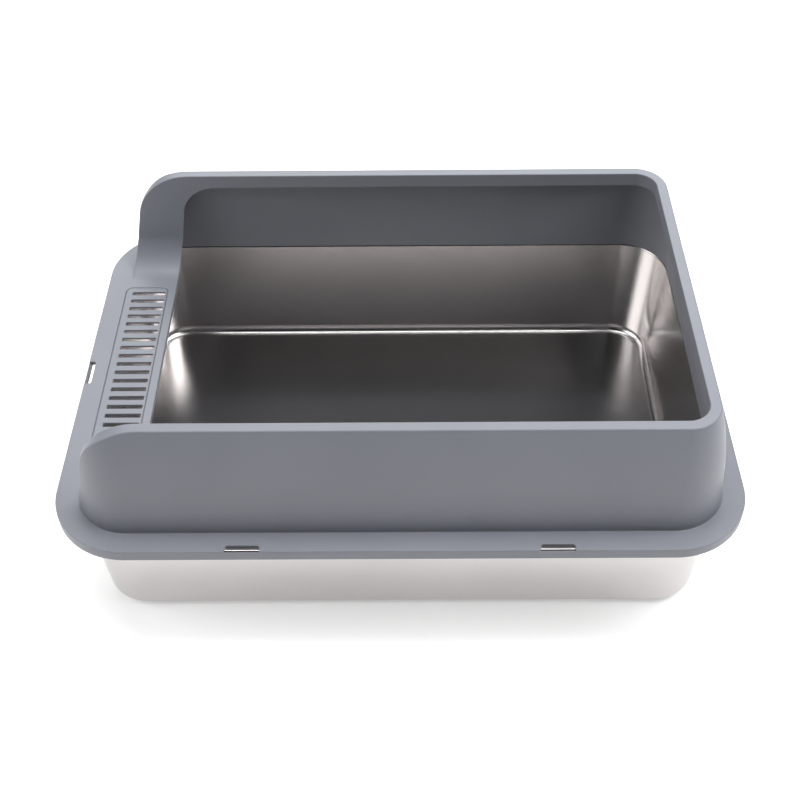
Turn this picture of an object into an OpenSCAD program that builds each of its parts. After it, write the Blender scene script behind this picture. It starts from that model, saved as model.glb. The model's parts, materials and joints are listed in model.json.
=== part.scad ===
// Cat litter box: a deep-drawn steel pan, and a one-piece plastic enclosure that drops over the
// pan's rim. Three high walls lean inwards; the fourth side is a low entrance with a litter grille.
// Origin: centre of the footprint on the floor. +X points away from the entrance, +Z is up.

/* [Enclosure] */
// Length over the flange
frame_l = 510; // [470:1:560]
// Width over the flange
frame_w = 366; // [340:1:420]
// Corner radius of the flange
frame_r = 58; // [54:1:66]
// Width of the flange outside the walls
flange_w = 17; // [14:0.5:20]
// Height of the walls above the flange
wall_h = 90.6; // [80:0.1:120]
// How far the walls lean inwards over their height
wall_run = 15.5; // [12:0.5:17]
// Height of the band along the top of the walls, which leans more than the rest
band_h = 32; // [20:1:40]
// How far that band leans inwards
band_run = 9; // [6:0.5:10]
// Width of the flat rim along the top of the walls
rim_w = 8.2; // [6:0.1:10]
// Height of the lip that hangs from the rim's inner edge
lip_h = 12.3; // [8:0.1:16]
// Thickness of the plastic
shell_t = 1.9; // [1.9:0.1:2.5]
// Height of the skirt that hides the pan's rim
skirt_h = 9.3; // [8.5:0.1:12]
// Thickness of the skirt
skirt_t = 1.4; // [1.2:0.1:1.6]

/* [Entrance] */
// Width of the entrance deck, from the flange's outer edge to its inner edge
deck_w = 60; // [56:1:66]
// Height of the lip under the deck's inner edge
deck_lip_h = 9; // [5:0.5:12]
// Radius of the sweep from the deck up to the wall ends
sweep_r = 28; // [16:1:34]
// Radius that rounds off the top of the wall ends
shoulder_r = 47; // [24:1:54]
// Radius between the wall ends and the lip above them
throat_r = 30; // [14:1:32]

/* [Rim windows] */
// Length of the windows over the snap ridges
window_l = 25; // [16:1:30]
// Width of the windows
window_w = 5; // [4:0.1:6]
// Width of the edge that is left between the windows and the outside of the flange
window_edge = 0.6; // [0.5:0.1:1]
// Distance from the middle to the windows in the long sides
window_x = 112.5; // [90:0.5:140]

/* [Litter grille] */
// Length of the grille along the entrance
grille_l = 210; // [180:1:215]
// Width of the grille
grille_w = 35.4; // [33:0.1:36]
// Number of slots
slot_n = 21; // [15:1:21]
// Distance from one slot to the next
slot_pitch = 9.75; // [8:0.05:9.8]
// Width of one slot
slot_w = 4.1; // [3:0.1:5]

/* [Pan] */
// Height of the pan from its underside to the top of its rim
pan_h = 98.1; // [80:0.1:120]
// Inward run of the pan's walls for each millimetre of depth
pan_draft = 0.07; // [0.05:0.001:0.1]
// Thickness of the sheet
sheet_t = 0.8; // [0.6:0.1:1]
// Inside radius between the floor and the walls
floor_r = 7.5; // [5:0.5:12]
// Outside radius of the curl around the rim
curl_r = 1.4; // [1.3:0.1:1.5]

/* [Feet] */
// Diameter of the stick-on rubber feet
foot_d = 22; // [15:1:30]
// Height of the feet
foot_h = 2; // [1.5:0.1:4]

/* [Hidden] */
$fn = 96;

PLASTIC = "#7d8088";
STEEL = "#c9c7c4";
RUBBER = "#3a3b3d";

// Every outline is concentric: a straight run between corner centres, and an arc around each.
centre_x = frame_l / 2 - frame_r;
centre_y = frame_w / 2 - frame_r;

rim_z = foot_h + pan_h;            // top of the pan's rim, where the flange rests
deck_z = rim_z + shell_t;          // top of the flange and of the entrance deck
top_z = deck_z + wall_h;
lip_z = top_z - lip_h;

wall_r = frame_r - flange_w;       // corner radius of the walls at the flange
top_r = wall_r - wall_run;         // and at the top
mouth_r = top_r - rim_w;           // corner radius of the opening
mouth_y = centre_y + mouth_r;      // half width of the opening: the lips and wall ends face it
lean = wall_run / wall_h;          // of the wall ends and of the lips below them
band_z = top_z - band_h;
band_r = top_r + band_run;

deck_x = -frame_l / 2 + deck_w;    // inner edge of the deck

pan_gap = 0.3;                     // how far the pan's walls stand outside the enclosure's
pan_wall_r = wall_r - shell_t + sheet_t + pan_gap;
curl_gap = 0.4;                    // between the pan's curl and the skirt
curl_c = frame_r - skirt_t - curl_gap - curl_r;
bend_r = 3;                        // between the pan's walls and its rim

ledge_w = 1.4;                     // ledge in the deck that carries the grille
ledge_z = deck_z - 1.1;
grille_gap = 0.5;                  // around the grille's plate
body_gap = 0.35;                   // around the grille's body, which stands between the ledges
grille_r = 5;
grille_x = -frame_l / 2 + flange_w + grille_w / 2 + 0.3;
slot_margin_out = 5.6;             // from the plate's outer long edge to the slots
slot_margin_in = 1.6;              // and from its inner long edge

ridge_l = 22;                      // snap ridges inside the skirt
ridge_w = 0.2;

foot_x = centre_x - 8;
foot_y = centre_y - 8;

far = frame_l;                     // past the object on any side

// ---- outlines -----------------------------------------------------------------------------

function unit(v) = v / norm(v);

function arc(c, r, a0, a1, n = 8) = [for (i = [0:n]) let (a = a0 + (a1 - a0) * i / n)
                                     c + r * [cos(a), sin(a)]];

// The corner b of the path a, b, c, rounded to the radius r
function round_corner(a, b, c, r) =
  r <= 0 ? [b] :
  let (u = unit(a - b), v = unit(c - b), half = acos(u * v) / 2,
       p = b + u * r / tan(half), q = b + v * r / tan(half),
       m = b + unit(u + v) * r / sin(half),
       a0 = atan2(p.y - m.y, p.x - m.x), a1 = atan2(q.y - m.y, q.x - m.x),
       turn = a1 - a0 > 180 ? a1 - a0 - 360 : a1 - a0 < -180 ? a1 - a0 + 360 : a1 - a0)
  arc(m, r, a0, a0 + turn);

// A closed path with each corner rounded to its own radius
function rounded(path, radii) = let (n = len(path))
  [for (i = [0:n - 1])
    each round_corner(path[(i + n - 1) % n], path[i], path[(i + 1) % n], radii[i])];

// The path without its closing corners: an open path's corners from the second to the last but one
function rounded_open(path, radii) = let (n = len(path))
  [path[0],
   for (i = [1:n - 2]) each round_corner(path[i - 1], path[i], path[i + 1], radii[i]),
   path[n - 1]];

// ---- shared shapes ------------------------------------------------------------------------

// Sweeps a profile around the concentric outline. The profile's x is the distance outwards
// from the corner centres, its y is the height.
module around() {
  for (turn = [0, 180]) rotate(turn) {
    translate([centre_x, centre_y, 0]) rotate([90, 0, 0])
      linear_extrude(2 * centre_y) children();
    translate([-centre_x, centre_y, 0]) rotate([90, 0, 90])
      linear_extrude(2 * centre_x) children();
  }
  for (i = [0, 1], j = [0, 1]) mirror([i, 0, 0]) mirror([0, j, 0])
    translate([centre_x, centre_y, 0]) rotate_extrude(angle = 90) children();
}

// A block with rounded corners. Its side is a path of points [corner radius, height], going up.
module block(side) {
  z0 = side[0].y;
  z1 = side[len(side) - 1].y;
  around() polygon([[0, z0], each side, [0, z1]]);
  translate([-centre_x, -centre_y, z0]) cube([2 * centre_x, 2 * centre_y, z1 - z0]);
}

module rounded_plate(l, w, r, z0, z1) {
  translate([0, 0, z0]) linear_extrude(z1 - z0)
    polygon(rounded([[-w, -l] / 2, [w, -l] / 2, [w, l] / 2, [-w, l] / 2], [r, r, r, r]));
}

// Places a child drawn in the +X direction at each of the six windows
module at_windows() {
  for (side = [0, 180]) rotate(side) {
    translate([centre_x, 0, 0]) children();
    for (x = [-window_x, window_x]) translate([x, centre_y, 0]) rotate(90) children();
  }
}

// ---- enclosure ----------------------------------------------------------------------------

// Corner radius of the walls at the height z
function wall_at(z) = z > band_z ? top_r + band_run / band_h * (top_z - z)
  : wall_r + (wall_r - band_r) / (band_z - deck_z) * (deck_z - z);

// The leaning walls as a solid with rounded shoulders over the entrance, inset by the given amount
module wall_block(inset) {
  z0 = rim_z - (inset > 0 ? 1 : 0);
  z1 = top_z - inset;
  end_x = function(r) -centre_x - sqrt(r * r - mouth_r * mouth_r) - 1;
  intersection() {
    block([for (z = [z0, band_z, z1]) [wall_at(z) - inset, z]]);
    rotate([90, 0, 0]) linear_extrude(frame_w, center = true)
      polygon(rounded([[end_x(wall_r) + inset - lean, z0], [end_x(top_r) + inset, z1],
                       [far, z1], [far, z0]], [0, shoulder_r - inset, 0, 0]));
  }
}

// The entrance as a trough along X: flat on the deck, swept up to the wall ends, grown by the
// given amount
module trough(grow) {
  y = mouth_y + grow;
  rotate([90, 0, 90]) linear_extrude(2 * far, center = true)
    polygon(rounded([[-y, top_z + 1], [-y, deck_z - grow], [y, deck_z - grow], [y, top_z + 1]],
                    [0, sweep_r + grow, sweep_r + grow, 0]));
}

// The space inside the opening, which runs out over the entrance
module mouth() {
  intersection() {
    trough(0);
    union() {
      block([[mouth_r, rim_z - 1], [mouth_r, top_z + 1]]);
      translate([-far, -mouth_y, rim_z - 1]) cube([far, 2 * mouth_y, wall_h + shell_t + 2]);
    }
  }
}

// The ribbon that is the deck, its sweeps, the wall ends and the first stretch of the lips
module ribbon(join_x) {
  inner_x = deck_x + lean * (lip_z - deck_z);
  intersection() {
    difference() {
      trough(shell_t);
      trough(0);
    }
    rotate([90, 0, 0]) linear_extrude(frame_w, center = true)
      polygon(rounded([[-far, rim_z], [deck_x - lean * shell_t, rim_z], [inner_x, lip_z],
                       [join_x, lip_z], [join_x, top_z], [-far, top_z]],
                      [0, 0, throat_r, 0, 0, 0]));
    wall_block(0);
  }
}

// The lip that hangs from the rim's inner edge, as far as the ribbon
module rim_lip(join_x) {
  intersection() {
    around() translate([mouth_r, lip_z]) square([shell_t, lip_h]);
    translate([join_x, -far / 2, lip_z - 1]) cube([far, far, lip_h + 2]);
  }
}

// The flange and its skirt, from the middle of the walls' thickness outwards
module flange() {
  skirt_r = frame_r - skirt_t;
  root_r = wall_r - shell_t / 2;
  around() polygon([[root_r, rim_z], [skirt_r, rim_z], [skirt_r, deck_z - skirt_h],
                    [frame_r, deck_z - skirt_h], [frame_r, deck_z], [root_r, deck_z]]);
}

// The lip under the flat stretch of the deck, leaning like the wall ends
module deck_lip() {
  drop = [-lean * deck_lip_h, -deck_lip_h];
  edge = [deck_x, deck_z];
  back = [-shell_t, 0];
  rotate([90, 0, 0]) linear_extrude(2 * (mouth_y - sweep_r - 1), center = true)
    polygon([edge, edge + back, edge + back + drop, edge + drop]);
}

module windows() {
  r0 = frame_r - window_edge - window_w;
  at_windows() translate([r0, 0, rim_z - 1]) linear_extrude(shell_t + 2)
    polygon(rounded([[0, -window_l / 2], [window_w, -window_l / 2],
                     [window_w, window_l / 2], [0, window_l / 2]], [2, 0, 0, 2]));
}

// Ridges under the windows that snap past the pan's curl
module snap_ridges() {
  r = frame_r - skirt_t;
  z = rim_z - 2 * curl_r - 0.4;
  at_windows() translate([r, ridge_l / 2, 0]) rotate([90, 0, 0]) linear_extrude(ridge_l)
    polygon([[0.1, z], [-ridge_w, z - 0.3], [0.1, z - 1.8]]);
}

module enclosure() {
  join_x = -centre_x / 2;
  color(PLASTIC) {
    difference() {
      union() {
        difference() {
          union() {
            wall_block(0);
            block([[wall_r + 1, rim_z], [wall_r + 1, deck_z]]);
          }
          wall_block(shell_t);
          mouth();
        }
        flange();
        ribbon(join_x);
        rim_lip(join_x);
        deck_lip();
      }
      windows();
      translate([grille_x, 0, 0]) {
        rounded_plate(grille_l + 2 * grille_gap, grille_w + 2 * grille_gap,
                      grille_r + grille_gap, ledge_z, deck_z + 1);
        rounded_plate(grille_l - 2 * ledge_w, grille_w - 2 * ledge_w,
                      grille_r - ledge_w, rim_z - 1, deck_z);
      }
    }
    snap_ridges();
  }
}

// ---- litter grille ------------------------------------------------------------------------

module litter_grille() {
  under = 2 * (ledge_w + body_gap);
  slot_l = grille_w - slot_margin_out - slot_margin_in;
  color(PLASTIC) translate([grille_x, 0, 0]) difference() {
    union() {
      rounded_plate(grille_l, grille_w, grille_r, ledge_z, deck_z);
      rounded_plate(grille_l - under, grille_w - under, grille_r - under / 2, rim_z, ledge_z);
    }
    for (i = [0:slot_n - 1])
      translate([slot_margin_out - grille_w / 2, (i - (slot_n - 1) / 2) * slot_pitch - slot_w / 2,
                 rim_z - 1])
        cube([slot_l, slot_w, shell_t + 2]);
  }
}

// ---- pan ----------------------------------------------------------------------------------

// Half section of the sheet: floor, wall, rim and curl, as its inner skin and its outer skin
module pan_section() {
  wall_x = function(z, t) pan_wall_r - pan_draft * (deck_z - z) - t;
  floor_z = foot_h + sheet_t;
  c = [curl_c, rim_z - curl_r];
  inner = rounded_open([[0, floor_z], [wall_x(floor_z, sheet_t), floor_z],
                        [wall_x(rim_z, sheet_t), rim_z], [curl_c, rim_z]],
                       [0, floor_r, bend_r, 0]);
  outer = rounded_open([[0, foot_h], [wall_x(foot_h, 0), foot_h],
                        [wall_x(rim_z - sheet_t, 0), rim_z - sheet_t],
                        [curl_c, rim_z - sheet_t]],
                       [0, floor_r + sheet_t, bend_r - sheet_t, 0]);
  reversed = [for (i = [len(outer) - 1:-1:0]) outer[i]];
  polygon(concat(inner, arc(c, curl_r, 80, -160), arc(c, curl_r - sheet_t, -160, 80), reversed));
}

module steel_pan() {
  color(STEEL) {
    around() pan_section();
    translate([-centre_x, -centre_y, foot_h]) cube([2 * centre_x, 2 * centre_y, sheet_t]);
  }
}

// ---- feet ---------------------------------------------------------------------------------

module foot(x, y) {
  color(RUBBER) translate([x, y, 0]) rotate_extrude()
    polygon(rounded_open([[0, 0], [foot_d / 2, 0], [foot_d / 2, foot_h], [0, foot_h]],
                         [0, foot_h / 2, 0, 0]));
}

module foot_front_left() { foot(-foot_x, -foot_y); }
module foot_front_right() { foot(foot_x, -foot_y); }
module foot_rear_left() { foot(-foot_x, foot_y); }
module foot_rear_right() { foot(foot_x, foot_y); }

steel_pan();
enclosure();
litter_grille();
foot_front_left();
foot_front_right();
foot_rear_left();
foot_rear_right();
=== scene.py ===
"""Looks of the cat litter box: a deep-drawn steel pan, and a high-sided plastic enclosure over its
rim, with a low entrance and a litter grille. Everything is in metres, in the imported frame.

Half of every ring-shaped piece is built as points (x, h, z), where h is the distance from the
plane through the box's length, and then mirrored across that plane."""

import json
import math

import bmesh
import bpy
import numpy as np
from mathutils import Matrix, Vector


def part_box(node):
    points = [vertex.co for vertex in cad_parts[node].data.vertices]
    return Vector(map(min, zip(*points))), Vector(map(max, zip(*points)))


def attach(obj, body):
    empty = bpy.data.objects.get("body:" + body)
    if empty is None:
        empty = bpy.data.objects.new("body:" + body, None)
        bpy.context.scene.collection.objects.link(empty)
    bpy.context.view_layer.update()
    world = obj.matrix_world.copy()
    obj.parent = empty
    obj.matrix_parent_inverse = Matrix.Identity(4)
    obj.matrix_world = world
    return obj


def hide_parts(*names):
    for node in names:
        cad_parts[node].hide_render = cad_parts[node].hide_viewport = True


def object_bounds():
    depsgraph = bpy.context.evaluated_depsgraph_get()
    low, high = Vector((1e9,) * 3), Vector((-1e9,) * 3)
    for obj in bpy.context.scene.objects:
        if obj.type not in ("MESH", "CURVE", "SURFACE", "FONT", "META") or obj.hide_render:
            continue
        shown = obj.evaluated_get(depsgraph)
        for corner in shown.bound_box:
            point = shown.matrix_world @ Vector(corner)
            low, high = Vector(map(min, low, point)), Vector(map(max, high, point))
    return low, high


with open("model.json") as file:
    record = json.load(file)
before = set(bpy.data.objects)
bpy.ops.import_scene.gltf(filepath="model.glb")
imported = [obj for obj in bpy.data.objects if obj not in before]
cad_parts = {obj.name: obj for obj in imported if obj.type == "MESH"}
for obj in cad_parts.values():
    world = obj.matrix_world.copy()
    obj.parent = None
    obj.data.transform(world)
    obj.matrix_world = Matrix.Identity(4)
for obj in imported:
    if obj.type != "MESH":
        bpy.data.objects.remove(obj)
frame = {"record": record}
CAD_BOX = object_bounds()

# ---- sizes ----------------------------------------------------------------------------------

MM = 0.001

ENCLOSURE_LO, ENCLOSURE_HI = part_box("enclosure")
PAN_LO, PAN_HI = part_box("steel_pan")
GRILLE_LO, GRILLE_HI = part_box("litter_grille")

SKIRT_Z = ENCLOSURE_LO.z       # underside of the skirt
RIM_Z = PAN_HI.z               # top of the pan's rim, where the flange rests
DECK_Z = GRILLE_HI.z           # top of the flange, the deck and the grille
TOP_Z = ENCLOSURE_HI.z
SHELL_T = DECK_Z - RIM_Z       # thickness of the plastic

# Every outline is concentric: a straight run between corner centres, and an arc around each.
FRAME_R = 58 * MM
CENTRE_X = ENCLOSURE_HI.x - FRAME_R
CENTRE_H = ENCLOSURE_HI.y - FRAME_R
WALL_R = FRAME_R - 17 * MM
TOP_R = WALL_R - 15.5 * MM
MOUTH_R = TOP_R - 8.2 * MM
SKIRT_R = FRAME_R - 1.4 * MM
MOUTH_H = CENTRE_H + MOUTH_R   # where the lips and the wall ends stand
LEAN = (WALL_R - TOP_R) / (TOP_Z - DECK_Z)
BAND_Z = TOP_Z - 32 * MM       # above this the walls lean more
BAND_R = TOP_R + 9 * MM
BAND_BEND = 22 * MM            # reach of the soft bend below and above
WALL_STOPS = (0.2, 0.4, 0.53, 0.65, 0.77, 0.89)   # up the wall, where its skin gets points
SUPPORT_W = 1.5 * MM           # the flat flange keeps its shading up to here from its edges
LIP_Z = TOP_Z - 12.3 * MM

# The entrance: the deck sweeps up to the wall ends, whose tops are rounded off as shoulders.
DECK_X = ENCLOSURE_LO.x + 60 * MM
DECK_LIP_H = 9 * MM
SWEEP_R = 28 * MM
SHOULDER_R = 47 * MM
THROAT_R = 30 * MM
DECK_H = MOUTH_H - SWEEP_R     # half width of the flat deck
SWEEP_Z = DECK_Z + SWEEP_R     # top of the sweeps
SWEEP_L = SWEEP_R * math.pi / 2
EDGE_W = 2.4 * MM              # the least width of the rounded edge between a wall and its end

WINDOW_L, WINDOW_W = 25 * MM, 5 * MM
WINDOW_X = 112.5 * MM
WINDOW_R = FRAME_R - 0.6 * MM - WINDOW_W
WINDOW_NOTCH = 1.1 * MM        # how deep the windows cut into the top of the skirt
RIDGE_L, RIDGE_W = 22 * MM, 0.2 * MM

LEDGE_Z = DECK_Z - 1.1 * MM    # the ledge that carries the grille
LEDGE_W = 1.4 * MM
GRILLE_GAP = 0.5 * MM
GRILLE_R = 5 * MM
SLOTS = 21
SLOT_PITCH, SLOT_W = 9.75 * MM, 4.1 * MM
SLOT_MARGIN_OUT, SLOT_MARGIN_IN = 5.6 * MM, 1.6 * MM

SHEET_T = 0.8 * MM
PAN_DRAFT = 0.07
PAN_WALL_R = WALL_R - SHELL_T + SHEET_T + 0.3 * MM
FLOOR_R, BEND_R, CURL_R = 7.5 * MM, 1.6 * MM, 1.4 * MM
CURL_C = PAN_HI.x - CENTRE_X - CURL_R

CORNER_STEPS = 24
SPLIT_HALVINGS = 40
LIP_END = 3.35                 # the deck's lip fades out up the sweep, which runs from 3 to 4


# ---- mesh helpers ---------------------------------------------------------------------------

def lerp(a, b, t):
    return a + (b - a) * t


def smooth(t):
    t = min(max(t, 0.0), 1.0)
    return t * t * (3 - 2 * t)


def between(a, b, steps):
    """Values from a, included, to b, left out."""
    return [lerp(a, b, i / steps) for i in range(steps)]


def fillet(points, radii, steps):
    """Rounds the corners of closed control polygons, one in each row of points. Corner i gets the
    radius radii[i] and steps[i] + 1 points; where a side is short, its two radii shrink to fit."""
    p = np.asarray(points, float)
    back, ahead = np.roll(p, 1, axis=1) - p, np.roll(p, -1, axis=1) - p
    back_l = np.linalg.norm(back, axis=2, keepdims=True)
    ahead_l = np.linalg.norm(ahead, axis=2, keepdims=True)
    tiny = 1e-9
    u, v = back / np.maximum(back_l, tiny), ahead / np.maximum(ahead_l, tiny)
    half_turn = np.arccos(np.clip(-(u * v).sum(2, keepdims=True), -1, 1)) / 2
    half_turn[(back_l < tiny) | (ahead_l < tiny)] = 0
    cut = np.asarray(radii, float)[None, :, None] * np.tan(np.minimum(half_turn, 1.5))
    room = np.minimum(1, 0.98 * ahead_l / np.maximum(cut + np.roll(cut, -1, axis=1), tiny))
    cut *= np.minimum(room, np.roll(room, 1, axis=1))
    start, end, weight = p + u * cut, p + v * cut, np.cos(half_turn)
    rows = []
    for i, n in enumerate(steps):
        for t in np.linspace(0, 1, n + 1):
            a, b, c = (1 - t) ** 2, 2 * t * (1 - t) * weight[:, i], t * t
            rows.append((a * start[:, i] + b * p[:, i] + c * end[:, i]) / (a + b + c))
    return np.stack(rows, axis=1)


def mesh_object(name, points, faces, sharp=35):
    """A smooth-shaded object, with hard edges where faces meet at more than sharp degrees."""
    mesh = bpy.data.meshes.new(name)
    mesh.from_pydata([tuple(p) for p in points], [], faces)
    bm = bmesh.new()
    bm.from_mesh(mesh)
    bmesh.ops.remove_doubles(bm, verts=bm.verts, dist=2e-6)
    bmesh.ops.dissolve_degenerate(bm, edges=bm.edges, dist=1e-6)
    bmesh.ops.recalc_face_normals(bm, faces=bm.faces)
    bm.to_mesh(mesh)
    bm.free()
    obj = bpy.data.objects.new(name, mesh)
    bpy.context.scene.collection.objects.link(obj)
    shade(obj, sharp)
    return obj


def shade(obj, sharp):
    obj.data.shade_smooth()
    obj.data.set_sharp_from_angle(angle=math.radians(sharp))


def flat_normals(obj):
    """Large faces keep their own normal, so that flat stretches stay flat beside a rounded edge."""
    weighted = obj.modifiers.new("weighted_normals", "WEIGHTED_NORMAL")
    weighted.keep_sharp = True
    weighted.weight = 100


def tube_faces(rings, sides, start=0, close_rings=True, close_sides=True):
    """Quads between successive rings of points, where each ring has the same number of sides."""
    faces = []
    for i in range(rings if close_rings else rings - 1):
        for j in range(sides if close_sides else sides - 1):
            a, b = i * sides, (i + 1) % rings * sides
            k = (j + 1) % sides
            faces.append((start + a + j, start + b + j, start + b + k, start + a + k))
    return faces


def quarter_turn(start):
    """Ways (x, h) round a corner, from start, included, to a quarter turn on, left out."""
    turns = between(start, start + math.pi / 2, CORNER_STEPS)
    return [(math.cos(a), math.sin(a)) for a in turns]


def full_ring(half):
    """The whole ring of sections from its half, whose first and last sections lie in the plane of
    symmetry. Each section is an array of (x, h, z)."""
    front = np.array(half, float)
    back = front[-2:0:-1].copy()
    front[:, :, 1] *= -1
    return np.concatenate([front, back])


def rounded_rectangle(size_x, size_y, radii, steps=6):
    """Points (x, y) around a rectangle at the origin; radii go round from (-x, -y)."""
    x, y = size_x / 2, size_y / 2
    corners = [(-x, -y, 0), (x, -y, 0), (x, y, 0), (-x, y, 0)]
    return fillet([corners], radii, [steps] * 4)[0, :, :2]


def prism(name, levels, place=Matrix.Identity(4)):
    """A closed stack of levels: each is (z, the outline's points)."""
    sides = len(levels[0][1])
    points = [place @ Vector((x, y, z)) for z, outline in levels for x, y in outline]
    faces = tube_faces(len(levels), sides, close_rings=False)
    faces.append(tuple(range(sides)))
    faces.append(tuple(range((len(levels) - 1) * sides, len(levels) * sides)))
    return mesh_object(name, points, faces)


def cut(obj, cutters):
    """Takes the cutters away from obj, and removes them."""
    for cutter in cutters:
        modifier = obj.modifiers.new("cut", "BOOLEAN")
        modifier.object = cutter
        modifier.operation = "DIFFERENCE"
        modifier.solver = "EXACT"
    evaluated = obj.evaluated_get(bpy.context.evaluated_depsgraph_get())
    result = bpy.data.meshes.new_from_object(evaluated)
    obj.modifiers.clear()
    obj.data = result
    for cutter in cutters:
        bpy.data.objects.remove(cutter)


# ---- enclosure ------------------------------------------------------------------------------

def wall_radius(z):
    """Corner radius of the walls: a steep lower part, and a band above it that leans more."""
    low = (WALL_R - BAND_R) / (BAND_Z - DECK_Z)
    high = (BAND_R - TOP_R) / (TOP_Z - BAND_Z)
    lean = high if z > BAND_Z else low
    near = max(0.0, BAND_BEND - abs(z - BAND_Z))
    soft = (high - low) * near ** 2 / BAND_BEND / 4
    return BAND_R - lean * (z - BAND_Z) - soft


def wall_points(foot, top):
    """Points on the wall's skin between its foot and its top edge."""
    points = []
    for f in WALL_STOPS:
        z = lerp(foot[2], top[2], f)
        run = wall_radius(foot[2]) - wall_radius(top[2])
        share = (wall_radius(foot[2]) - wall_radius(z)) / run if run > 0 else f
        points.append((lerp(foot[0], top[0], share), lerp(foot[1], top[1], share), z))
    return points


def straight_section(centre, way):
    """Control points of the section at a corner centre, or at a point between two of them, looking
    outwards along way."""
    def at(r, z):
        return (centre[0] + r * way[0], centre[1] + r * way[1], z)
    under = TOP_Z - SHELL_T
    foot, top = at(WALL_R, DECK_Z), at(TOP_R, TOP_Z)
    foot_in, top_in = at(wall_radius(RIM_Z) - SHELL_T, RIM_Z), at(wall_radius(under) - SHELL_T, under)
    middle = at(MOUTH_R + SHELL_T / 2, LIP_Z)
    return [at(FRAME_R, SKIRT_Z), at(FRAME_R, DECK_Z), at(FRAME_R - SUPPORT_W, DECK_Z),
            at(WALL_R + SUPPORT_W, DECK_Z), foot, *wall_points(foot, top), top,
            at(MOUTH_R, TOP_Z), at(MOUTH_R, LIP_Z), middle, middle, at(MOUTH_R + SHELL_T, LIP_Z),
            at(MOUTH_R + SHELL_T, under), top_in, *wall_points(foot_in, top_in)[::-1], foot_in,
            at(SKIRT_R, RIM_Z), at(SKIRT_R, SKIRT_Z)]


# Radius in mm at each control point of a section, and how many steps round it
ON_WALL = [(0, 0)] * len(WALL_STOPS)
ROUNDING = [(0.4, 2), (0.7, 5), (0, 0), (0, 0), (0.9, 4), *ON_WALL, (1.4, 7), (0.8, 6), (0.9, 5),
            (0.5, 3), (0.5, 3), (0.9, 4), (0.4, 2), (1, 3), *ON_WALL, (0.4, 2), (0.5, 2), (0.4, 2)]


def ribbon(s, depth):
    """(h, z) on the ribbon that is the deck, a sweep and a wall end, a distance s along it from the
    middle of the deck, and depth under its face."""
    if s < DECK_H:
        return s, DECK_Z - depth
    if s < DECK_H + SWEEP_L:
        turn = (s - DECK_H) / SWEEP_R
        r = SWEEP_R + depth
        return DECK_H + r * math.sin(turn), SWEEP_Z - r * math.cos(turn)
    return MOUTH_H + depth, SWEEP_Z + s - DECK_H - SWEEP_L


def end_line(z, inset=0.0):
    """x of the line that the wall ends' outer edges lean along, as far as their shoulders."""
    def foot(r):
        return -CENTRE_X - math.sqrt(r * r - MOUTH_R * MOUTH_R) - MM
    slope = (foot(TOP_R) - foot(WALL_R)) / (TOP_Z - DECK_Z)
    return foot(WALL_R) + slope * (z - DECK_Z) + inset * math.hypot(1, slope)


def throat_line(z):
    return DECK_X + LEAN * (z - DECK_Z)


def rounded_end(k, line, radius, top):
    """(x, z) along an outline over the entrance: from k 0 to 1 along the level line at top, to 2
    round the corner, and to 3 down the leaning line, as far as the sweep."""
    slope = (line(top) - line(SWEEP_Z)) / (top - SWEEP_Z)
    lean = math.atan(slope)
    z_c = top - radius
    x_c = line(z_c) + radius / math.cos(lean)
    if k < 1:
        return lerp(-CENTRE_X / 2, x_c, k), top
    if k < 2:
        a = lerp(math.pi / 2, math.pi - lean, k - 1)
        return x_c + radius * math.cos(a), z_c + radius * math.sin(a)
    z = lerp(z_c + radius * math.sin(lean), SWEEP_Z, k - 2)
    return line(z), z


def ribbon_place(k, line, radius, top):
    """(x, s) for k as in rounded_end, then to 4 down the sweep and to 5 along the deck."""
    if k <= 3:
        x, z = rounded_end(k, line, radius, top)
        return x, DECK_H + SWEEP_L + z - SWEEP_Z
    if k <= 4:
        return None, lerp(DECK_H + SWEEP_L, DECK_H, k - 3)
    return None, lerp(DECK_H, 0, k - 4)


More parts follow.
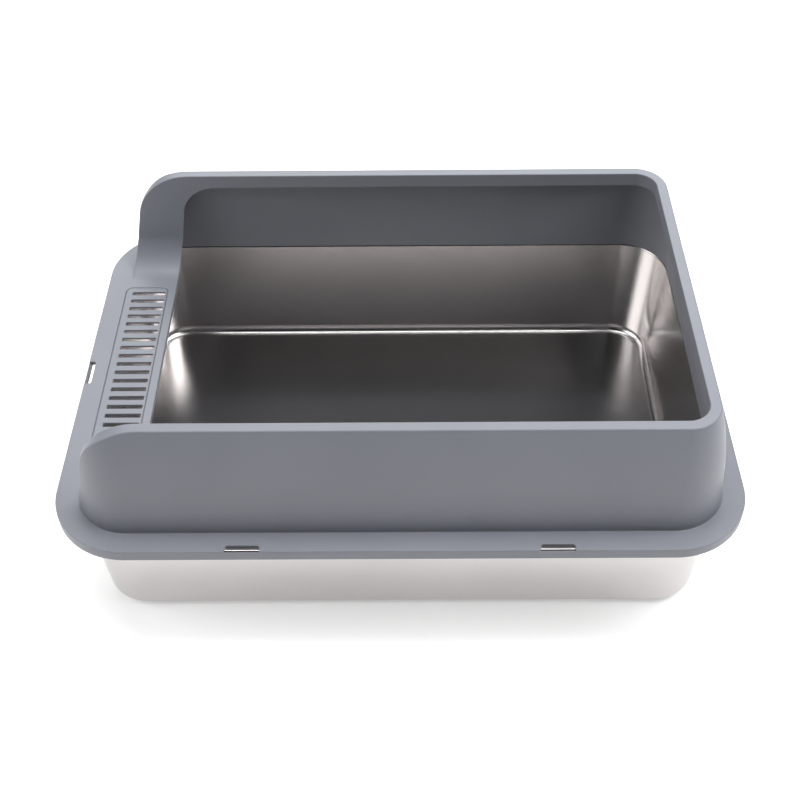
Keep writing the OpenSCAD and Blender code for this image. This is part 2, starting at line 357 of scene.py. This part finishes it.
class Skin:
    """The outer skin of the walls and of the ribbon's outer edge, or the inner skin, inset by the
    shell's thickness."""

    def __init__(self, inset):
        self.inset, self.base = inset, DECK_Z - inset
        low, high = 3.0, 4.0           # the sweep, halved until the split is found
        for _ in range(SPLIT_HALVINGS):
            middle = (low + high) / 2
            _, h, z = self.edge(middle)
            if self.cone_h(end_line(z, inset), z) < h:
                low = middle
            else:
                high = middle
        self.split = low               # from here down, the wall end has a foot of its own
        self.split_z = self.edge(low)[2]
        x = end_line(self.base, inset)
        self.foot = (x, self.cone_h(x, self.base))

    def radius(self, z):
        return wall_radius(z) - self.inset

    def cone_h(self, x, z):
        past = max(0.0, -CENTRE_X - x)
        return CENTRE_H + math.sqrt(max(0.0, self.radius(z) ** 2 - past * past))

    def edge(self, k):
        """The outline's point on the ribbon."""
        def line(z):
            return end_line(z, self.inset)
        x, s = ribbon_place(k, line, SHOULDER_R - self.inset, TOP_Z - self.inset)
        h, z = ribbon(s, self.inset)
        return (line(z) if x is None else x), h, z

    def points(self, k):
        """The wall's foot, the wall's top edge, and the ribbon's outer edge."""
        x, h, z = self.edge(k)
        if k >= 4:
            return [(self.foot[0], h, self.base)] * 3
        if k <= self.split:
            wall_h = self.cone_h(x, z)
            if wall_h < h:
                x = -CENTRE_X - math.sqrt(self.radius(z) ** 2 - (h - CENTRE_H) ** 2)
                wall_h = h
            top = (x, wall_h, z)
        else:
            f = 2 * (k - self.split) / (4 - self.split)
            if f < 1:
                top_z = lerp(self.split_z, self.base, f)
                top_x = end_line(top_z, self.inset)
                top = (top_x, self.cone_h(top_x, top_z), top_z)
            else:
                top = (self.foot[0], lerp(self.foot[1], DECK_H, f - 1), self.base)
                return [top, top, (x, h, z)]
        past = min(0.0, top[0] + CENTRE_X)
        across = top[1] - CENTRE_H
        share = self.radius(self.base) / math.hypot(past, across)
        foot = (top[0] if past == 0 else -CENTRE_X + past * share, CENTRE_H + across * share,
                self.base)
        return [foot, top, (x, h, z)]


OUTER, INNER = Skin(0.0), Skin(SHELL_T)


def frame_place(k, foot, r):
    """(x, h) on the flange's outline of radius r, opposite the wall's foot."""
    turn_k = (OUTER.split + 4) / 2
    if k < turn_k:
        if foot[0] > -CENTRE_X:
            return foot[0], CENTRE_H + r
        a = math.atan2(foot[1] - CENTRE_H, foot[0] + CENTRE_X)
        return -CENTRE_X + r * math.cos(a), CENTRE_H + r * math.sin(a)
    if k >= 4:
        return -CENTRE_X - r, foot[1]
    a = math.atan2(OUTER.foot[1] - CENTRE_H, -CENTRE_X - OUTER.foot[0])
    arc, straight = FRAME_R * a, CENTRE_H - DECK_H
    run = (arc + straight) * (k - turn_k) / (4 - turn_k)
    if run < arc:
        a -= run / FRAME_R
        return -CENTRE_X - r * math.cos(a), CENTRE_H + r * math.sin(a)
    return -CENTRE_X - r, CENTRE_H - (run - arc)


def entrance_section(k):
    """Control points of the section at k along the shoulder, the wall end and the deck."""
    foot, top, edge = (np.array(p) for p in OUTER.points(k))
    foot_in, top_in, edge_in = INNER.points(k)
    x_t, s_t = ribbon_place(k, throat_line, THROAT_R, LIP_Z)
    lip = smooth((k - LIP_END) / (4 - LIP_END))

    def throat(depth, back):
        h, z = ribbon(s_t, depth)
        return np.array((x_t if x_t is not None else throat_line(z), h, z)) - (back, 0, 0)

    depth = lerp(SHELL_T / 2, DECK_LIP_H, lip)
    back = SHELL_T * lip
    inner = throat(0, 0)
    short = max(0.0, EDGE_W - np.linalg.norm(edge - top)) / 2
    height = np.linalg.norm(foot - top)
    if height > 0:
        top = top + (foot - top) / height * min(short, height / 2)
    if k < 4:
        edge = edge + (inner - edge) / np.linalg.norm(inner - edge) * short
    out = frame_place(k, foot, FRAME_R)
    support = (*frame_place(k, foot, FRAME_R - SUPPORT_W), DECK_Z)
    by_foot = foot + (support - foot) / np.linalg.norm(support - foot) * SUPPORT_W
    under = frame_place(k, foot, SKIRT_R)
    return [(*out, SKIRT_Z), (*out, DECK_Z), support, by_foot, foot, *wall_points(foot, top), top,
            edge, inner, throat(depth, 0), throat(depth, back), throat(SHELL_T, back), edge_in,
            top_in, *wall_points(foot_in, top_in)[::-1], foot_in, (*under, RIM_Z), (*under, SKIRT_Z)]


def enclosure_half():
    sections = [straight_section((CENTRE_X, h), (1, 0)) for h in between(0, CENTRE_H, 4)]
    sections += [straight_section((CENTRE_X, CENTRE_H), way) for way in quarter_turn(0)]
    sections += [straight_section((x, CENTRE_H), (0, 1))
                 for x in between(CENTRE_X, -CENTRE_X / 2, 12)]
    for start, steps in ((0, 6), (1, 26), (2, 8), (3, 30), (4, 8)):
        sections += [entrance_section(k) for k in between(start, start + 1, steps)]
    return sections + [entrance_section(5)]


def window_places():
    """Matrices that put a shape drawn along +X, at its radius, at each of the six windows."""
    for side in (0, math.pi):
        turn = Matrix.Rotation(side, 4, "Z")
        yield turn @ Matrix.Translation((CENTRE_X, 0, 0))
        for x in (-WINDOW_X, WINDOW_X):
            yield turn @ Matrix.Translation((x, CENTRE_H, 0)) @ Matrix.Rotation(math.pi / 2, 4, "Z")


def window_cutter(place):
    chamfer, above, inner_r = 0.25 * MM, MM, 0.2 * MM
    middle = WINDOW_R + WINDOW_W / 2

    def outline(grow):
        r = 2 * MM + grow
        points = rounded_rectangle(WINDOW_W + 2 * grow, WINDOW_L + 2 * grow,
                                   [r, grow + inner_r, grow + inner_r, r])
        return points + (middle, 0)
    levels = [(RIM_Z - MM, outline(0)), (DECK_Z - chamfer, outline(0)),
              (DECK_Z + above, outline(chamfer + above))]
    return prism("window_cutter", levels, place)


def notch_cutter(place):
    """Opens a window outwards over the top of the skirt."""
    inner, outer = WINDOW_R + WINDOW_W / 2, FRAME_R + MM
    outline = rounded_rectangle(outer - inner, WINDOW_L, [0.2 * MM] * 4, 3) + ((inner + outer) / 2, 0)
    return prism("notch_cutter", [(DECK_Z - WINDOW_NOTCH, outline), (DECK_Z + MM, outline)], place)


def grille_cutter():
    chamfer, above = 0.45 * MM, MM
    size = GRILLE_HI - GRILLE_LO

    def outline(grow):
        return (rounded_rectangle(size.x + 2 * grow, size.y + 2 * grow, [GRILLE_R + grow] * 4)
                + ((GRILLE_HI + GRILLE_LO) / 2).xy)
    levels = [(RIM_Z - MM, outline(-LEDGE_W)), (LEDGE_Z, outline(-LEDGE_W)),
              (LEDGE_Z, outline(GRILLE_GAP)), (DECK_Z - chamfer, outline(GRILLE_GAP)),
              (DECK_Z + above, outline(GRILLE_GAP + chamfer + above))]
    return prism("grille_cutter", levels)


def snap_ridge(place):
    """A ridge inside the skirt, which snaps past the pan's curl."""
    z = RIM_Z - 2 * CURL_R - 0.4 * MM
    root, tip = SKIRT_R + 0.1 * MM, SKIRT_R - RIDGE_W
    corners = [(root, z), (tip, z - 0.3 * MM), (tip, z - 0.6 * MM), (root, z - 1.8 * MM)]
    ends = [(-RIDGE_L / 2, 1), (RIDGE_L / 2, 1)]
    points = [place @ Vector((r, t, z_p)) for t, _ in ends for r, z_p in corners]
    faces = tube_faces(2, 4, close_rings=False) + [(0, 1, 2, 3), (4, 5, 6, 7)]
    return points, faces


def build_enclosure():
    radii, steps = [r * MM for r, _ in ROUNDING], [n for _, n in ROUNDING]
    sections = full_ring(fillet(enclosure_half(), radii, steps))
    rings, sides = sections.shape[:2]
    shell = mesh_object("enclosure_shell", sections.reshape(-1, 3), tube_faces(rings, sides))
    cut(shell, [window_cutter(m) for m in window_places()] + [grille_cutter()])
    cut(shell, [notch_cutter(m) for m in window_places()])
    shade(shell, 35)
    flat_normals(shell)
    points, faces = [], []
    for place in window_places():
        ridge_points, ridge_faces = snap_ridge(place)
        faces += [tuple(len(points) + i for i in f) for f in ridge_faces]
        points += ridge_points
    ridges = mesh_object("enclosure_snap_ridges", points, faces)
    return shell, ridges


# ---- litter grille --------------------------------------------------------------------------

def build_grille():
    size, centre = GRILLE_HI - GRILLE_LO, (GRILLE_HI + GRILLE_LO) / 2
    edge, step = 0.45 * MM, LEDGE_W + 0.35 * MM

    def outline(shrink):
        r = max(GRILLE_R - shrink, MM)
        return rounded_rectangle(size.x - 2 * shrink, size.y - 2 * shrink, [r] * 4) + centre.xy
    levels = [(GRILLE_LO.z, outline(step + edge)), (GRILLE_LO.z + edge, outline(step)),
              (LEDGE_Z, outline(step)), (LEDGE_Z, outline(0)), (DECK_Z - edge, outline(0)),
              (DECK_Z - edge / 3, outline(edge / 3)), (DECK_Z, outline(edge))]
    plate = prism("litter_grille_plate", levels)

    slot_l = size.x - SLOT_MARGIN_OUT - SLOT_MARGIN_IN
    slot_x = GRILLE_LO.x + SLOT_MARGIN_OUT + slot_l / 2
    soft, above = 0.25 * MM, MM
    cutters = []
    for i in range(SLOTS):
        y = centre.y + (i - (SLOTS - 1) / 2) * SLOT_PITCH

        def slot(grow):
            return (rounded_rectangle(slot_l + 2 * grow, SLOT_W + 2 * grow, [0.6 * MM + grow] * 4, 3)
                    + (slot_x, y))
        cutters.append(prism("slot_cutter", [
            (GRILLE_LO.z - above, slot(soft + above)), (GRILLE_LO.z + soft, slot(0)),
            (DECK_Z - soft, slot(0)), (DECK_Z + above, slot(soft + above))]))
    cut(plate, cutters)
    shade(plate, 30)
    flat_normals(plate)
    return plate


# ---- steel pan ------------------------------------------------------------------------------

def pan_wall(z, inset):
    return PAN_WALL_R - PAN_DRAFT * (DECK_Z - z) - inset


def sheet_path(inset, bend_r, floor_r, floor_z, rim_z):
    """(r, z) along one skin of the sheet, from the floor to the rim."""
    corners = [(0, floor_z), (pan_wall(floor_z, inset), floor_z),
               (pan_wall(rim_z, inset), rim_z), (CURL_C, rim_z), (CURL_C, rim_z + FRAME_R),
               (0, rim_z + FRAME_R)]
    corners = [[(r, 0, z) for r, z in corners]]
    rounded = fillet(corners, [0, floor_r, bend_r, 0, 0, 0], [0, 14, 10, 0, 0, 0])[0]
    return [(r, z) for r, _, z in rounded[:-2]]


def curl_arc(radius, a0, a1, steps):
    z = RIM_Z - CURL_R
    turns = [math.radians(lerp(a0, a1, i / steps)) for i in range(steps + 1)]
    return [(CURL_C + radius * math.cos(a), z + radius * math.sin(a)) for a in turns]


def pan_outline(sides_x, sides_h):
    """Places (x, h) and their ways outwards, round half of the pan from +X to the entrance."""
    places = [((CENTRE_X, h), (1, 0)) for h in between(0, CENTRE_H, sides_h // 2)]
    places += [((CENTRE_X, CENTRE_H), way) for way in quarter_turn(0)]
    places += [((x, CENTRE_H), (0, 1)) for x in between(CENTRE_X, -CENTRE_X, sides_x)]
    places += [((-CENTRE_X, CENTRE_H), way) for way in quarter_turn(math.pi / 2)]
    places += [((-CENTRE_X, h), (-1, 0)) for h in between(CENTRE_H, 0, sides_h // 2)]
    return places + [((-CENTRE_X, 0), (-1, 0))]


def build_pan():
    floor_z = PAN_LO.z + SHEET_T
    inner = sheet_path(SHEET_T, BEND_R, FLOOR_R, floor_z, RIM_Z)
    outer = sheet_path(0, BEND_R - SHEET_T, FLOOR_R + SHEET_T, PAN_LO.z, RIM_Z - SHEET_T)
    profile = (inner + curl_arc(CURL_R, 80, -160, 20) + curl_arc(CURL_R - SHEET_T, -160, 80, 16)
               + outer[::-1])
    sides_x, sides_h = 28, 16
    half = [[(x + r * way[0], h + r * way[1], z) for r, z in profile]
            for (x, h), way in pan_outline(sides_x, sides_h)]
    sections = full_ring(half)
    rings, sides = sections.shape[:2]
    points = [tuple(p) for p in sections.reshape(-1, 3)]
    faces = tube_faces(rings, sides, close_sides=False)
    for z in (floor_z, PAN_LO.z):
        start = len(points)
        points += [(lerp(-CENTRE_X, CENTRE_X, i / sides_x), lerp(-CENTRE_H, CENTRE_H, j / sides_h), z)
                   for i in range(sides_x + 1) for j in range(sides_h + 1)]
        faces += tube_faces(sides_x + 1, sides_h + 1, start, False, False)
    pan = mesh_object("pan_sheet", points, faces)
    flat_normals(pan)
    return pan


# ---- feet -----------------------------------------------------------------------------------

def build_foot(node):
    """A stick-on rubber pad with a soft edge and two shallow grooves in its tread."""
    lo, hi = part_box(node)
    centre, radius, height = (lo + hi) / 2, (hi.x - lo.x) / 2, hi.z - lo.z
    groove, groove_w = 0.35 * MM, 0.5 * MM
    profile = [(0, hi.z), (radius - 0.3 * MM, hi.z), (radius, hi.z - 0.3 * MM),
               (radius, lo.z + height / 2)]
    profile += [(radius - height / 2 * (1 - math.cos(a)), lo.z + height / 2 * (1 - math.sin(a)))
                for a in (math.pi / 2 * i / 5 for i in range(1, 6))]
    for r in (0.72 * radius, 0.42 * radius):
        profile += [(r + groove_w, lo.z), (r + groove_w / 2, lo.z + groove),
                    (r - groove_w / 2, lo.z + groove), (r - groove_w, lo.z)]
    profile.append((0, lo.z))
    turns = 48
    points = [(centre.x + r * math.cos(a), centre.y + r * math.sin(a), z)
              for a in (2 * math.pi * i / turns for i in range(turns)) for r, z in profile]
    pad = mesh_object(node + "_pad", points, tube_faces(turns, len(profile), close_sides=False))
    flat_normals(pad)
    return pad


# ---- materials ------------------------------------------------------------------------------

class Shader:
    """A material with its Principled shader, and short calls for the nodes that feed it."""

    def __init__(self, name):
        self.material = bpy.data.materials.new(name)
        self.material.use_nodes = True
        self.nodes, self.links = self.material.node_tree.nodes, self.material.node_tree.links
        self.principled = self.nodes["Principled BSDF"]

    def node(self, kind, inputs=(), **settings):
        made = self.nodes.new("ShaderNode" + kind)
        for key, value in settings.items():
            setattr(made, key, value)
        for key, value in dict(inputs).items():
            self.feed(made.inputs[key], value)
        return made

    def feed(self, socket, value):
        if isinstance(value, bpy.types.NodeSocket):
            self.links.new(value, socket)
        else:
            socket.default_value = value

    def set(self, **values):
        for key, value in values.items():
            self.feed(self.principled.inputs[key.replace("_", " ")], value)

    def place(self, scale):
        """Object coordinates in metres, times scale."""
        coordinates = self.node("TexCoord").outputs["Object"]
        return self.node("Mapping", {"Vector": coordinates, "Scale": scale}).outputs["Vector"]

    def noise(self, scale, detail=3.0, roughness=0.5, **inputs):
        """Noise with this many features to the metre along x, y and z."""
        return self.node("TexNoise", {"Vector": self.place(scale), "Scale": 1.0, "Detail": detail,
                                      "Roughness": roughness, **inputs}).outputs["Fac"]

    def spread(self, value, low, high, start=0.0, end=1.0):
        """value from low to high, mapped to run from start to end."""
        return self.node("MapRange", {"Value": value, "From Min": low, "From Max": high,
                                      "To Min": start, "To Max": end}).outputs["Result"]

    def ramp(self, value, *stops):
        """Colours along value; each stop is (place, (r, g, b))."""
        made = self.node("ValToRGB", {"Fac": value})
        elements = made.color_ramp.elements
        while len(elements) < len(stops):
            elements.new(1.0)
        for element, (place, colour) in zip(elements, stops):
            element.position, element.color = place, (*colour, 1)
        return made.outputs["Color"]

    def bump(self, height, strength, distance, under=None):
        inputs = {"Height": height, "Strength": strength, "Distance": distance}
        if under is not None:
            inputs["Normal"] = under
        return self.node("Bump", inputs).outputs["Normal"]


def plastic():
    """Matte moulded plastic: a fine spark-eroded grain, and faint flow over the large faces."""
    m = Shader("matte_plastic")
    flow = m.noise((14, 14, 14), detail=2.0)
    grain = m.noise((2600, 2600, 2600), detail=2.0, roughness=0.6)
    tone = m.node("Mix", data_type="RGBA", blend_type="MULTIPLY")
    m.feed(tone.inputs["Factor"], 1.0)
    m.feed(tone.inputs["A"], m.ramp(flow, (0.3, (0.191, 0.202, 0.232)), (0.7, (0.201, 0.213, 0.243))))
    m.feed(tone.inputs["B"], m.ramp(grain, (0.3, (0.93, 0.93, 0.93)), (0.7, (1.0, 1.0, 1.0))))
    m.set(Base_Color=tone.outputs["Result"],
          Roughness=m.spread(m.noise((30, 30, 30)), 0.3, 0.7, 0.42, 0.48),
          IOR=1.5, Normal=m.bump(grain, 0.22, 0.00006))
    return m.material


def steel():
    """Satin stainless sheet: fine brushed lines, level on the walls and lengthwise on the floor."""
    m = Shader("satin_steel")
    lines = m.noise((25, 1800, 1800), detail=3.0, roughness=0.7)
    cloud = m.noise((9, 9, 9), detail=2.0)
    tone = m.node("Mix", data_type="RGBA", blend_type="MULTIPLY")
    m.feed(tone.inputs["Factor"], 1.0)
    m.feed(tone.inputs["A"], m.ramp(cloud, (0.3, (0.56, 0.540, 0.534)), (0.7, (0.59, 0.570, 0.564))))
    m.feed(tone.inputs["B"], m.ramp(lines, (0.25, (0.98, 0.98, 0.98)), (0.75, (1.0, 1.0, 1.0))))
    m.set(Base_Color=tone.outputs["Result"], Metallic=1.0,
          Roughness=m.spread(lines, 0.25, 0.75, 0.225, 0.245),
          Normal=m.bump(lines, 0.02, 0.00002))
    return m.material


def rubber():
    m = Shader("rubber")
    grain = m.noise((1500, 1500, 1500), detail=3.0)
    m.set(Base_Color=m.ramp(grain, (0.3, (0.030, 0.030, 0.032)), (0.7, (0.046, 0.046, 0.049))),
          Roughness=m.spread(grain, 0.3, 0.7, 0.72, 0.86), IOR=1.52,
          Normal=m.bump(grain, 0.3, 0.0001))
    return m.material


def table_material():
    """A white light table, which glows a little from below."""
    m = Shader("light_table")
    cloud = m.noise((3, 3, 3))
    m.set(Base_Color=m.ramp(cloud, (0.3, (0.90, 0.90, 0.90)), (0.7, (0.92, 0.92, 0.92))),
          Roughness=0.85, Emission_Color=(1, 1, 1, 1), Emission_Strength=GLOW)
    return m.material


# ---- studio ---------------------------------------------------------------------------------

SOFTBOX_D = 1.6                # from the object to every softbox
GLOW = 0.32                    # of the table and the backdrop, which are one pale tone far away


def make_camera():
    """At the photograph's viewing angle: from the front, 46 degrees down, a little rolled."""
    pitch, yaw, roll = (math.radians(a) for a in (45.747, -0.449, -0.6315))
    lens = bpy.data.cameras.new("camera")
    lens.sensor_width, lens.lens = 36.0, 55.27
    lens.clip_start, lens.clip_end = 0.05, 60.0
    camera = bpy.data.objects.new("camera", lens)
    bpy.context.scene.collection.objects.link(camera)
    camera.location = (0.00545, -0.71371, DECK_Z + 0.6984)
    turn = (Matrix.Rotation(-yaw, 4, "Z") @ Matrix.Rotation(math.pi / 2 - pitch, 4, "X")
            @ Matrix.Rotation(roll, 4, "Z"))
    camera.rotation_euler = turn.to_euler()
    bpy.context.scene.camera = camera


def softbox(name, azimuth, elevation, size, radiance):
    """A softbox that faces the object from azimuth (0 is +X, 90 is +Y) and elevation, in degrees."""
    turn, rise = math.radians(azimuth), math.radians(elevation)
    way = Vector((math.cos(rise) * math.cos(turn), math.cos(rise) * math.sin(turn), math.sin(rise)))
    light = bpy.data.lights.new(name, "AREA")
    light.shape = "RECTANGLE"
    light.size, light.size_y = size
    light.energy = radiance * math.pi * size[0] * size[1]
    obj = bpy.data.objects.new(name, light)
    bpy.context.scene.collection.objects.link(obj)
    obj.location = way * SOFTBOX_D + Vector((0, 0, RIM_Z))
    obj.rotation_euler = way.to_track_quat("Z", "Y").to_euler()


def make_studio():
    far, z = 12.0, CAD_BOX[0].z
    corners = [(-far, -far, z), (far, -far, z), (far, far, z), (-far, far, z)]
    table = mesh_object("studio_table", corners, [(0, 1, 2, 3)])
    table.data.materials.append(table_material())

    world = bpy.data.worlds.new("studio")
    bpy.context.scene.world = world
    world.use_nodes = True
    background = world.node_tree.nodes["Background"]
    background.inputs["Color"].default_value = (1, 1, 1, 1)
    background.inputs["Strength"].default_value = GLOW
    world.cycles_visibility.diffuse = False     # the softboxes and the table alone light the box
    world.cycles_visibility.glossy = False

    softbox("softbox_right", -12, 50, (1.1, 0.8), 7.5)
    softbox("softbox_left", 194, 36, (1.1, 1.0), 3.7)
    softbox("softbox_back", 90, 38, (2.4, 0.9), 3.4)
    softbox("softbox_top", 90, 85, (1.4, 0.6), 6.2)
    bpy.context.scene.view_settings.view_transform = "Standard"


# ---- the scene ------------------------------------------------------------------------------

def dress(obj, material, slot, body, *nodes):
    obj.data.materials.clear()
    obj.data.materials.append(material)
    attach(obj, body)
    if nodes:
        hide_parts(*nodes)


make_camera()
PLASTIC, STEEL, RUBBER = plastic(), steel(), rubber()
shell, ridges = build_enclosure()
dress(shell, PLASTIC, "plastic", "enclosure", "enclosure")
dress(ridges, PLASTIC, "plastic", "enclosure")
dress(build_grille(), PLASTIC, "plastic", "grille", "litter_grille")
dress(build_pan(), STEEL, "steel", "pan", "steel_pan")
for node in frame["record"]["behaviour"]["bodies"]["pan"]:
    if node.startswith("foot"):
        dress(build_foot(node), RUBBER, "rubber", "pan", node)
make_studio()
